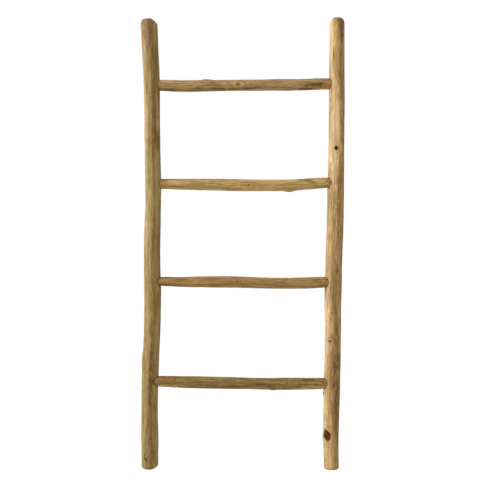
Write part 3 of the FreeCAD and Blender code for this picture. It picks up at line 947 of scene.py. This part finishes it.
class Paint:
    """Short way to add and join the nodes of a material or a world."""

    def __init__(self, owner):
        self.owner = owner
        owner.use_nodes = True
        self.nodes, self.links = owner.node_tree.nodes, owner.node_tree.links

    def join(self, value, entry):
        """Leads a node's output to an entry, or writes a plain value there."""
        if isinstance(value, bpy.types.NodeSocket):
            self.links.new(value, entry)
        else:
            entry.default_value = value

    def add(self, kind, inputs, **settings):
        """New node with its settings, and its inputs by name or number."""
        node = self.nodes.new(kind)
        for key, value in settings.items():
            setattr(node, key, value)
        for key, value in inputs.items():
            self.join(value, node.inputs[key])
        return node

    def stored(self, name, output="Fac"):
        """What the mesh keeps under a name for each of its points."""
        return self.add("ShaderNodeAttribute", {}, attribute_name=name).outputs[output]

    def place(self):
        """Place on the object."""
        return self.add("ShaderNodeTexCoord", {}).outputs["Object"]

    def maths(self, operation, first, second=0.0):
        """Result of an operation on one value or two."""
        return self.add("ShaderNodeMath", {0: first, 1: second}, operation=operation).outputs[0]

    def times(self, first, second):
        """Product of two values."""
        return self.maths("MULTIPLY", first, second)

    def stretched(self, vector, across, along):
        """Vector with its own scale across a pole and along it."""
        scale = (across, across, along)
        return self.add("ShaderNodeVectorMath", {0: vector, 1: scale}, operation="MULTIPLY").outputs[0]

    def noise(self, vector, across, along, detail, distortion=0.0):
        """Noise with its own scale across a pole and along it."""
        inputs = {"Vector": self.stretched(vector, across, along), "Scale": 1.0}
        inputs.update({"Detail": detail, "Distortion": distortion})
        return self.add("ShaderNodeTexNoise", inputs).outputs["Fac"]

    def ranged(self, value, low, high, to_low=0.0, to_high=1.0):
        """Value moved gently from one range to another."""
        names = ("Value", "From Min", "From Max", "To Min", "To Max")
        inputs = dict(zip(names, (value, low, high, to_low, to_high)))
        return self.add("ShaderNodeMapRange", inputs, interpolation_type="SMOOTHSTEP").outputs["Result"]

    def ramp(self, value, *stops):
        """Colour from stops, each a value and a colour."""
        node = self.add("ShaderNodeValToRGB", {"Fac": value})
        elements = node.color_ramp.elements
        while len(elements) < len(stops):
            elements.new(1.0)
        for element, (place, colour) in zip(elements, stops):
            element.position, element.color = place, colour
        return node.outputs["Color"]

    def mix(self, share, first, second, blend="MIX"):
        """Colour that goes from the first to the second as the share goes to 1."""
        node = self.add("ShaderNodeMix", {0: share, 6: first, 7: second}, data_type="RGBA", blend_type=blend)
        return node.outputs[2]

    def grey(self, value):
        """Colour with a value in all three channels."""
        return self.add("ShaderNodeCombineColor", {0: value, 1: value, 2: value}).outputs[0]

    def bumped(self, height, strength, distance):
        """Normal that follows a height."""
        inputs = {"Height": height, "Strength": strength, "Distance": distance}
        return self.add("ShaderNodeBump", inputs).outputs["Normal"]

    def surface(self, inputs):
        """Joins the surface's own inputs, by their names, and gives the finished material."""
        for key, value in inputs.items():
            self.join(value, self.nodes["Principled BSDF"].inputs[key])
        return self.owner


class Wood(Paint):
    """Peeled wood of one pole, painted over step by step."""

    def __init__(self, name, look, colours):
        super().__init__(bpy.data.materials.new(name))
        self.colours = colours
        self.pale, self.middle, self.deep, self.dark = look["tones"]
        self.mottle, self.figure = look["mottle"], look["figure"]
        self.grain = self.stored("grain", "Vector")
        self.broad = self.noise(self.grain, across=40, along=5, detail=3)
        self.streak = self.noise(self.grain, across=260, along=14, detail=3, distortion=0.4)
        self.hair = self.noise(self.grain, across=620, along=13, detail=2)
        self.fibre = self.noise(self.grain, across=1700, along=28, detail=2)
        self.fleck = self.noise(self.grain, across=330, along=36, detail=3)
        self.blotch = self.noise(self.grain, across=110, along=45, detail=3)
        self.speck = self.noise(self.grain, across=190, along=85, detail=2)

    def streaked(self):
        """Flats of different age, with streaks, hairs, flecks, blotches and specks."""
        tone = self.maths("ADD", self.broad, self.times(self.stored("pale"), 0.11))
        colour = self.ramp(tone, (0.22, self.deep), (0.5, self.middle), (0.78, self.pale))
        tints = (
            (self.streak, 0.54, 0.61, 0.7, self.deep),
            (self.streak, 0.45, 0.37, 0.55, self.pale),
            (self.hair, 0.55, 0.68, 0.45, self.dark),
            (self.fleck, 0.56, 0.67, 0.4, self.dark),
            (self.fleck, 0.44, 0.32, 0.35, self.pale),
            (self.blotch, 0.54, 0.72, self.mottle, self.dark),
            (self.blotch, 0.46, 0.28, self.mottle, self.pale),
            (self.speck, 0.53, 0.68, self.mottle, self.dark),
            (self.speck, 0.47, 0.32, self.mottle, self.pale),
        )
        for noise, none, full, share, tint in tints:
            colour = self.mix(self.ranged(noise, none, full, 0.0, share), colour, tint)
        return colour

    def weathered_and_shaded(self, colour):
        """Orange where a knife shaved it, olive where it is stained and where shade is painted, and pale
        where it is bleached and where a highlight is painted.
        """
        shaved = self.ramp(self.streak, (0.3, self.colours.shaved), (0.7, self.colours.shaved_deep))
        bare = self.times(self.stored("shaved"), self.ranged(self.streak, 0.35, 0.65, 0.5, 0.9))
        colour = self.mix(bare, colour, shaved)
        stain_and_shading = self.stored("stain_and_shading")
        dark_stain_and_shade = self.times(self.ranged(stain_and_shading, 0.0, 0.9), self.ranged(self.blotch, 0.3, 0.6, 0.5, 1.0))
        # Olive brown for stains, and for the bands of painted shade on the sides away from the key lamp
        colour = self.mix(dark_stain_and_shade, colour, self.ramp(stain_and_shading, (0.35, self.deep), (0.8, self.dark)))
        # Pale for bleached patches, and for the bands of painted highlight on the lit sides
        bleach_and_highlight = blended(shaded(self.pale, 1.1), self.colours.bleach_and_sheen, 0.04)
        return self.mix(self.ranged(stain_and_shading, 0.0, -1.0), colour, bleach_and_highlight)

    def ringed(self, colour):
        """Growth lines that follow the depth of cut, and lines of flowing grain."""
        lines = self.times(self.stored("depth"), math.tau / GROWTH_RING)
        waver = self.noise(self.grain, across=60, along=12, detail=2)
        lines = self.maths("ADD", lines, self.times(waver, 7.0))
        late_wood = self.ranged(self.maths("SINE", lines), 0.35, 0.98, 0.0, self.figure)
        patches = self.noise(self.grain, across=30, along=8, detail=1)
        fade = self.ranged(patches, 0.35, 0.6, 0.3, 1.0)
        colour = self.mix(self.times(late_wood, fade), colour, shaded(self.deep, 0.85))
        sheets = self.noise(self.grain, across=75, along=3.5, detail=1)
        flow = self.maths("SINE", self.times(sheets, 26.0))
        return self.mix(self.ranged(flow, 0.55, 1.0, 0.0, 0.35), colour, self.dark)

    def knotted(self, colour):
        """Rings round the knots, and their dark cores."""
        waves = self.maths("SINE", self.times(self.stored("ring"), 7.0))
        rings = self.times(self.ranged(waves, -0.4, 0.9, 0.15, 0.7), self.stored("halo"))
        colour = self.mix(rings, colour, shaded(self.deep, 0.8))
        mottled = self.noise(self.place(), across=75, along=60, detail=2)
        core = self.ramp(mottled, (0.34, self.colours.core), (0.66, self.colours.core_light))
        return self.mix(self.stored("knot"), colour, core)

    def sawn(self, colour):
        """End grain with growth rings."""
        flat = self.stretched(self.grain, 1, 0)
        pith = self.add("ShaderNodeVectorMath", {0: flat}, operation="LENGTH").outputs["Value"]
        years = self.maths("ADD", self.times(pith, math.tau / YEAR_RING), self.times(self.broad, 9.0))
        pores = self.noise(self.grain, across=700, along=4, detail=2)
        end_grain = self.ramp(pores, (0.3, shaded(self.deep, 0.9)), (0.7, self.middle))
        lines = self.ranged(self.maths("SINE", years), 0.0, 1.0, 0.0, 0.55)
        end_grain = self.mix(lines, end_grain, self.dark)
        return self.mix(self.stored("sawn"), colour, end_grain)

    def painted(self):
        """Finished material."""
        colour = self.knotted(self.ringed(self.weathered_and_shaded(self.streaked())))
        # Dirt in the cracks, and painted shade in a ring where rungs meet rails
        colour = self.mix(self.stored("grime_and_shade"), self.sawn(colour), self.colours.grime_and_shade)
        colour = self.mix(1.0, colour, self.grey(self.ranged(self.fibre, 0.3, 0.7, 0.88, 1.08)), "MULTIPLY")
        height = self.maths("ADD", self.times(self.fibre, 0.5), self.streak)
        inputs = {
            "Base Color": colour,
            "Roughness": self.ranged(self.streak, 0.3, 0.7, 0.58, 0.76),
            "Specular IOR Level": self.ranged(self.stored("knot"), 0.0, 1.0, 0.3, 0.05),
            "Normal": self.bumped(height, 0.5, 0.25 * MM),
        }
        return self.surface(inputs)


def nail_steel(colours):
    """Dull drawn wire with a turned head and a breath of rust."""
    paint = Paint(bpy.data.materials.new("nail_steel"))
    place = paint.place()
    spots = paint.noise(place, across=900, along=900, detail=3)
    drawn = paint.noise(place, across=4000, along=300, detail=2)
    colour = paint.ramp(spots, (0.42, colours.steel), (0.6, colours.steel_light), (0.75, colours.rust))
    inputs = {
        "Base Color": colour,
        "Metallic": 0.9,
        "Roughness": paint.ranged(drawn, 0.3, 0.7, 0.32, 0.55),
        "Normal": paint.bumped(drawn, 0.3, 0.05 * MM),
    }
    return paint.surface(inputs)


class RailSettings(bpy.types.PropertyGroup):
    """How strongly the two rails are worked."""

    flatness: bpy.props.FloatProperty(
        name="Flatness", description="How flat the drawknife left each flat", default=0.62, subtype="FACTOR"
    )
    wander: bpy.props.FloatProperty(
        name="Wander", description="How far edges of flats stray", default=math.radians(5), subtype="ANGLE"
    )
    waviness: bpy.props.FloatProperty(
        name="Waviness", description="Height of hollows and swells", default=0.4 * MM, unit="LENGTH"
    )
    fibre: bpy.props.FloatProperty(
        name="Fibre", description="Height of the grain that stands proud", default=0.06 * MM, unit="LENGTH"
    )
    socket_gap: bpy.props.FloatProperty(
        name="Socket gap", description="Air round a tenon in its socket", default=0.25 * MM, unit="LENGTH"
    )


class RungSettings(bpy.types.PropertyGroup):
    """How strongly the four rungs are worked."""

    flatness: bpy.props.FloatProperty(
        name="Flatness", description="How flat the drawknife left each flat", default=0.45, subtype="FACTOR"
    )
    wander: bpy.props.FloatProperty(
        name="Wander", description="How far edges of flats stray", default=math.radians(6), subtype="ANGLE"
    )
    waviness: bpy.props.FloatProperty(
        name="Waviness", description="Height of hollows and swells", default=0.3 * MM, unit="LENGTH"
    )
    fibre: bpy.props.FloatProperty(
        name="Fibre", description="Height of the grain that stands proud", default=0.05 * MM, unit="LENGTH"
    )


class WoodSettings(bpy.types.PropertyGroup):
    """Colours that the wood of every pole shares."""

    core: bpy.props.FloatVectorProperty(
        name="Knot", description="Core of a knot", default=srgb(52, 30, 10),
        size=4, subtype="COLOR"
    )
    core_light: bpy.props.FloatVectorProperty(
        name="Knot light", description="Light patches in a core", default=srgb(112, 68, 22),
        size=4, subtype="COLOR"
    )
    shaved: bpy.props.FloatVectorProperty(
        name="Shaved", description="Wood that a knife laid bare", default=srgb(182, 132, 72),
        size=4, subtype="COLOR"
    )
    shaved_deep: bpy.props.FloatVectorProperty(
        name="Shaved deep", description="Streaks in shaved wood", default=srgb(128, 84, 40),
        size=4, subtype="COLOR"
    )
    # Colour of the dirt in cracks, and of the painted shade where rungs meet rails
    grime_and_shade: bpy.props.FloatVectorProperty(
        name="Grime", description="Dirt in cracks and joints", default=srgb(62, 40, 22),
        size=4, subtype="COLOR"
    )
    # A touch of this grey is a painted sheen: it greys the bands of painted highlight on the lit sides, and
    # bleached patches with them
    bleach_and_sheen: bpy.props.FloatVectorProperty(
        name="Bleach", description="Grey of bleached wood", default=srgb(228, 226, 220),
        size=4, subtype="COLOR"
    )


class NailSettings(bpy.types.PropertyGroup):
    """The head of a nail, its hole and its steel."""

    rim: bpy.props.FloatProperty(
        name="Rim", description="Rounding of the head's edge", default=0.3 * MM, unit="LENGTH"
    )
    clearance: bpy.props.FloatProperty(
        name="Clearance", description="Air round a nail in its hole", default=0.06 * MM, unit="LENGTH"
    )
    steel: bpy.props.FloatVectorProperty(
        name="Steel", description="Bare steel", default=srgb(112, 110, 106),
        size=4, subtype="COLOR"
    )
    steel_light: bpy.props.FloatVectorProperty(
        name="Steel light", description="Rubbed steel", default=srgb(150, 148, 144),
        size=4, subtype="COLOR"
    )
    rust: bpy.props.FloatVectorProperty(
        name="Rust", description="Spots of rust", default=srgb(112, 76, 48),
        size=4, subtype="COLOR"
    )


class StageSettings(bpy.types.PropertyGroup):
    """Camera and light."""

    distance: bpy.props.FloatProperty(
        name="Distance", description="From the camera to the ladder", default=4.0, unit="LENGTH"
    )
    width: bpy.props.FloatProperty(
        name="Width", description="Width of the view at the ladder", default=1.495, unit="LENGTH"
    )
    key_power: bpy.props.FloatProperty(
        name="Key lamp", description="Power of the large lamp on the left", default=88.0, unit="POWER"
    )
    key_colour: bpy.props.FloatVectorProperty(
        name="Key colour", description="Tint of the key lamp", default=(0.83, 0.92, 1.0), subtype="COLOR"
    )
    ambient: bpy.props.FloatProperty(
        name="Ambient", description="Strength of the light from all round", default=0.59, subtype="FACTOR"
    )
    ambient_colour: bpy.props.FloatVectorProperty(
        name="Ambient colour", description="Tint of that light", default=(1.0, 0.94, 0.82), subtype="COLOR"
    )


class LadderSettings(bpy.types.PropertyGroup):
    """All settings of the ladder."""

    rails: bpy.props.PointerProperty(name="Rails", description="The two upright poles", type=RailSettings)
    rungs: bpy.props.PointerProperty(name="Rungs", description="The four cross poles", type=RungSettings)
    wood: bpy.props.PointerProperty(name="Wood", description="Colours of the wood", type=WoodSettings)
    nails: bpy.props.PointerProperty(name="Nails", description="The eight nails", type=NailSettings)
    stage: bpy.props.PointerProperty(name="Stage", description="Camera and light", type=StageSettings)


def place_piece(piece, node, material):
    """Puts a finished piece in the frame in place of the node it stands for."""
    piece.data.materials.clear()
    piece.data.materials.append(material)
    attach(piece, BODY)
    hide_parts(node)


# Every pole by its node, filled when the rails are carved
POLES = {}


def read_poles():
    """Reads every pole from the frame."""
    for looks, axis, columns in ((RAILS, RAIL_AXIS, RAIL_COLUMNS), (RUNGS, RUNG_AXIS, RUNG_COLUMNS)):
        POLES.update({node: Pole(node, axis, columns, look) for node, look in looks.items()})


def socket(rung, side, gap):
    """Form that bores the socket for a tenon, from just past its tip until it has left the rail."""
    pole = POLES[rung]
    tip, way = (pole.start, 1) if side == "left" else (pole.end, -1)
    along = tip + way * TENON_SAMPLE
    height, depth = pole.centre(along)
    girth = pole.sampled(pole.solid, np.full_like(pole.bearings, along), pole.bearings)
    radius = float(girth.mean()) + gap
    end = (tip - way * SOCKET_END_GAP, depth, height)
    return turned(end, (way, 0, 0), [(0, radius), (SOCKET_BORE, radius)], SOCKET_SEGMENTS)


def nail_node(rung, side):
    """Node of the nail through one tenon."""
    return f"{rung}_{side}_nail"


def nail_sizes(node):
    """Point, length and head radius of a nail of the frame, whose way is +Y."""
    low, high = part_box(node)
    middle = (low + high) / 2
    return (middle.x, low.y, middle.z), high.y - low.y, (high.x - low.x) / 2


def nail_hole(node, clearance):
    """Form that bores the hole for a nail, from its point to well past its head."""
    point, length, head = nail_sizes(node)
    shank, head, seat = NAIL_SHANK + clearance, head + clearance, length - NAIL_HEAD_THICKNESS
    profile = [(0, NAIL_HOLE_TIP), (NAIL_POINT, shank), (seat, shank), (seat, head)]
    profile.append((length + NAIL_BORE, head))
    return turned(point, (0, 1, 0), profile, NAIL_SEGMENTS)


def nail_profile(length, head, rim):
    """Distances along a nail and its radius there: point, shank with grip rings, and rounded head."""
    seat, shank = length - NAIL_HEAD_THICKNESS, NAIL_SHANK
    grip = seat - (GRIP_RINGS + 1) * GRIP_PITCH
    profile = [(0, NAIL_TIP), (NAIL_POINT, shank), (grip, shank)]
    for ring in range(GRIP_RINGS):
        base = grip + ring * GRIP_PITCH
        profile += [(base + place * GRIP_PITCH, share * shank) for place, share in GRIP_SHAPE]
    profile += [(seat - NAIL_NECK, shank), (seat, shank + NECK_FLARE), (seat, head - rim)]
    for step in range(1, RIM_TURNS + 1):
        turn = math.pi * step / RIM_TURNS
        along = (seat + length - NAIL_HEAD_THICKNESS * math.cos(turn)) / 2
        profile.append((along, head - rim + rim * math.sin(turn)))
    return [*profile, *((length - sunk, share * head) for share, sunk in HEAD_HOLLOW)]


class LADDER_OT_rails(bpy.types.Operator):
    """Carves the two upright poles and bores their sockets and nail holes"""

    bl_idname = "ladder.carve_rails"
    bl_label = "Carve rails"

    def execute(self, context):
        ladder = context.scene.ladder
        settings, clearance = ladder.rails, ladder.nails.clearance
        read_poles()
        for side in SIDES:
            node = f"{side}_rail"
            pole = POLES[node]
            along, bearing, radius = pole.carve(settings)
            radius = pole.hew_ends(along, bearing, radius)
            piece = pole_piece(f"peeled_{node}", pole, along[:, 0], radius, cracked=True)
            cut_away(piece, [socket(rung, side, settings.socket_gap) for rung in RUNGS])
            cut_away(piece, [nail_hole(nail_node(rung, side), clearance) for rung in RUNGS])
            write_looks(pole, piece, settings.wander, [(POLES[rung], 0) for rung in RUNGS])
            place_piece(piece, node, Wood(f"{node}_wood", pole.look, ladder.wood).painted())
        return {"FINISHED"}


class LADDER_OT_rungs(bpy.types.Operator):
    """Carves the four cross poles with their whittled ends"""

    bl_idname = "ladder.carve_rungs"
    bl_label = "Carve rungs"

    def execute(self, context):
        ladder = context.scene.ladder
        settings, clearance = ladder.rungs, ladder.nails.clearance
        if not POLES:
            raise RuntimeError("carve the rails first")
        for node, look in RUNGS.items():
            pole = POLES[node]
            neighbours = [(POLES[f"{side}_rail"], bare) for side, bare in zip(SIDES, look["shaved"])]
            along, bearing, radius = pole.carve(settings)
            radius = pole.whittle(along, bearing, radius, neighbours)
            piece = pole_piece(f"peeled_{node}", pole, along[:, 0], radius, cracked=False)
            cut_away(piece, [nail_hole(nail_node(node, side), clearance) for side in SIDES])
            write_looks(pole, piece, settings.wander, neighbours)
            place_piece(piece, node, Wood(f"{node}_wood", look, ladder.wood).painted())
        return {"FINISHED"}


class LADDER_OT_nails(bpy.types.Operator):
    """Makes the eight wire nails that lock the tenons from behind"""

    bl_idname = "ladder.drive_nails"
    bl_label = "Drive nails"

    def execute(self, context):
        settings = context.scene.ladder.nails
        steel = nail_steel(settings)
        for side in SIDES:
            for rung in RUNGS:
                node = nail_node(rung, side)
                point, length, head = nail_sizes(node)
                profile = nail_profile(length, head, settings.rim)
                form = turned(point, (0, 1, 0), profile, NAIL_SEGMENTS)
                piece = new_piece(f"driven_{node}", *form)
                smooth(piece.data)
                place_piece(piece, node, steel)
        return {"FINISHED"}


def add_camera(scene, settings):
    """Camera level with the ladder's middle, as in the photograph."""
    middle = (cad_box[0] + cad_box[1]) / 2
    eye = bpy.data.cameras.new("camera")
    eye.sensor_width = SENSOR_WIDTH
    eye.lens = SENSOR_WIDTH * settings.distance / settings.width
    scene.camera = add_object("camera", eye)
    scene.camera.location = (middle.x + EYE_ASIDE, -settings.distance, middle.z - EYE_BELOW)
    scene.camera.rotation_euler = (math.radians(90), 0, 0)


def add_key_lamp(settings):
    """Large soft lamp on the left."""
    lamp = bpy.data.lights.new("key", "AREA")
    lamp.energy, lamp.size, lamp.color = settings.key_power, KEY_SIZE, settings.key_colour
    key = add_object("key", lamp)
    key.location = KEY_PLACE
    key.rotation_euler = (Vector(KEY_AIM) - key.location).to_track_quat("-Z", "Y").to_euler()


def light_world(scene, settings):
    """World that looks white and lights the ladder softly."""
    scene.world = bpy.data.worlds.new("studio")
    paint = Paint(scene.world)
    path = paint.add("ShaderNodeLightPath", {}).outputs
    shown = path["Is Camera Ray"]
    for kind in ("Is Glossy Ray", "Is Transmission Ray"):
        shown = paint.maths("MAXIMUM", shown, path[kind])
    sky = paint.mix(shown, shaded(settings.ambient_colour, settings.ambient), WHITE)
    paint.join(sky, paint.nodes["Background"].inputs["Color"])


def lay_floor():
    """Floor that looks white to the camera, apart from the ladder's shadow."""
    paint = Paint(bpy.data.materials.new("white_floor"))
    seen = paint.add("ShaderNodeLightPath", {}).outputs["Is Camera Ray"]
    grey = paint.grey(paint.ranged(seen, 0.0, 1.0, FLOOR_GREY, FLOOR_GREY_SEEN))
    diffuse = paint.add("ShaderNodeBsdfDiffuse", {"Color": grey})
    glow = paint.add("ShaderNodeEmission", {"Color": WHITE, "Strength": paint.times(seen, FLOOR_GLOW_SEEN)})
    both = paint.add("ShaderNodeAddShader", {0: diffuse.outputs[0], 1: glow.outputs[0]})
    paint.join(both.outputs[0], paint.nodes["Material Output"].inputs["Surface"])
    sheet = bpy.data.meshes.new("floor")
    sheet.from_pydata([(x, y, cad_box[0].z) for x, y in FLOOR_CORNERS], [], [(0, 1, 2, 3)])
    sheet.materials.append(paint.owner)
    floor = add_object("floor", sheet)


class LADDER_OT_stage(bpy.types.Operator):
    """Sets the camera, the soft studio light and the pale floor"""

    bl_idname = "ladder.set_stage"
    bl_label = "Set stage"

    def execute(self, context):
        scene, settings = context.scene, context.scene.ladder.stage
        add_camera(scene, settings)
        add_key_lamp(settings)
        light_world(scene, settings)
        lay_floor()
        scene.view_settings.view_transform = "Standard"
        return {"FINISHED"}


class LADDER_PT_panel(bpy.types.Panel):
    """Lists the steps that make the ladder"""

    bl_idname = "LADDER_PT_panel"
    bl_label = "Display ladder"
    bl_space_type = "VIEW_3D"
    bl_region_type = "UI"
    bl_category = "Ladder"

    def draw(self, context):
        for operator in OPERATORS:
            self.layout.operator(operator.bl_idname)


OPERATORS = (LADDER_OT_rails, LADDER_OT_rungs, LADDER_OT_nails, LADDER_OT_stage)
GROUPS = (RailSettings, RungSettings, WoodSettings, NailSettings, StageSettings, LadderSettings)
CLASSES = (*GROUPS, *OPERATORS, LADDER_PT_panel)


def register():
    """Adds the classes, and the settings to the scene."""
    for part in CLASSES:
        bpy.utils.register_class(part)
    bpy.types.Scene.ladder = bpy.props.PointerProperty(type=LadderSettings)


def unregister():
    """Takes the settings and the classes away again."""
    del bpy.types.Scene.ladder
    for part in reversed(CLASSES):
        bpy.utils.unregister_class(part)


def main():
    """Makes the ladder and its stage."""
    register()
    bpy.ops.ladder.carve_rails()
    bpy.ops.ladder.carve_rungs()
    bpy.ops.ladder.drive_nails()
    bpy.ops.ladder.set_stage()


if __name__ == "__main__":
    main()
